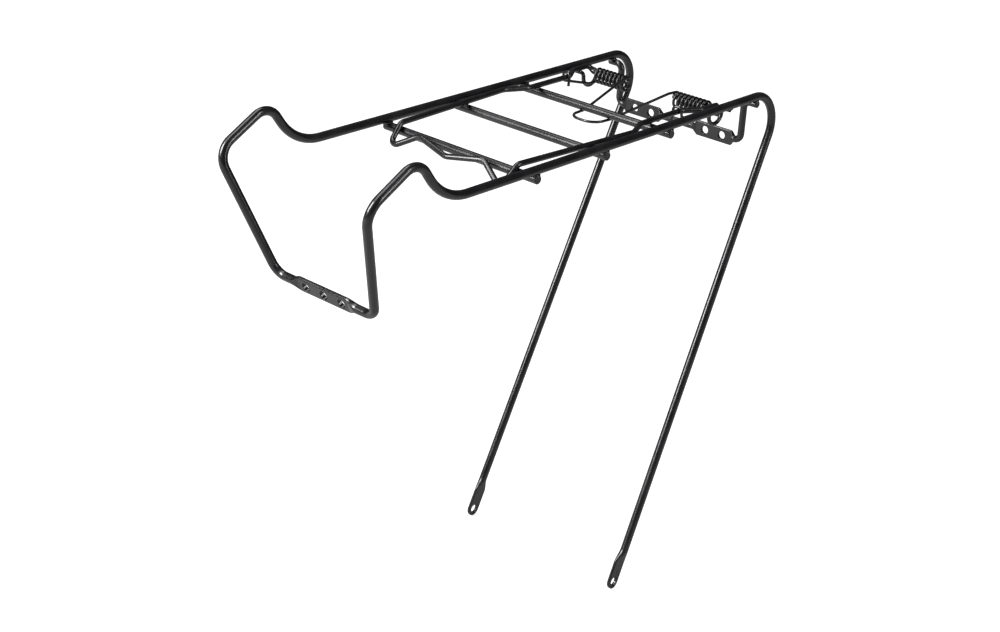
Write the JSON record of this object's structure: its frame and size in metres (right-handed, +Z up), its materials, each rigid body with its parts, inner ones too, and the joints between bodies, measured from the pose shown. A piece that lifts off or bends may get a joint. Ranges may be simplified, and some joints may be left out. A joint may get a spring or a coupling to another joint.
{
  "type": "bicycle rear carrier",
  "caption": "Bicycle rear luggage carrier bent from black round steel rod, with a sprung hinged clamp, stays with flat eyelets, a drilled front plate and a drilled lamp bracket.",
  "frame": {"origin": "midway between the two stay eyelets, on the line through their bolt holes", "axes": "+Z up, +Y to the back of the bicycle, +X to its left; the rails lie level along Y"},
  "size_m": [0.1486, 0.404, 0.3807],
  "materials": {
    "frame_steel": "gloss black paint on steel rod",
    "spring_steel": "gloss black paint on spring steel wire"
  },
  "bodies": {
    "frame": {"main_rod": "frame_steel", "front_cross_bar": "frame_steel", "middle_cross_bar": "frame_steel", "rear_cross_bar": "frame_steel", "lamp_bracket": "frame_steel", "pivot_bracket_left": "frame_steel", "pivot_bracket_right": "frame_steel", "torsion_spring": "spring_steel"},
    "clamp": {"clamp_bail": "spring_steel"}
  },
  "joints": [
    {"name": "clamp_hinge", "type": "hinge", "parent": "frame", "child": "clamp", "pos_m": [0, 0.089, 0.3415], "axis": [-1, 0, 0], "range_deg": [0, 90], "stiffness_Nm_per_rad": 1.6, "springref_deg": -34.38, "deforming": ["torsion_spring"]}
  ]
}
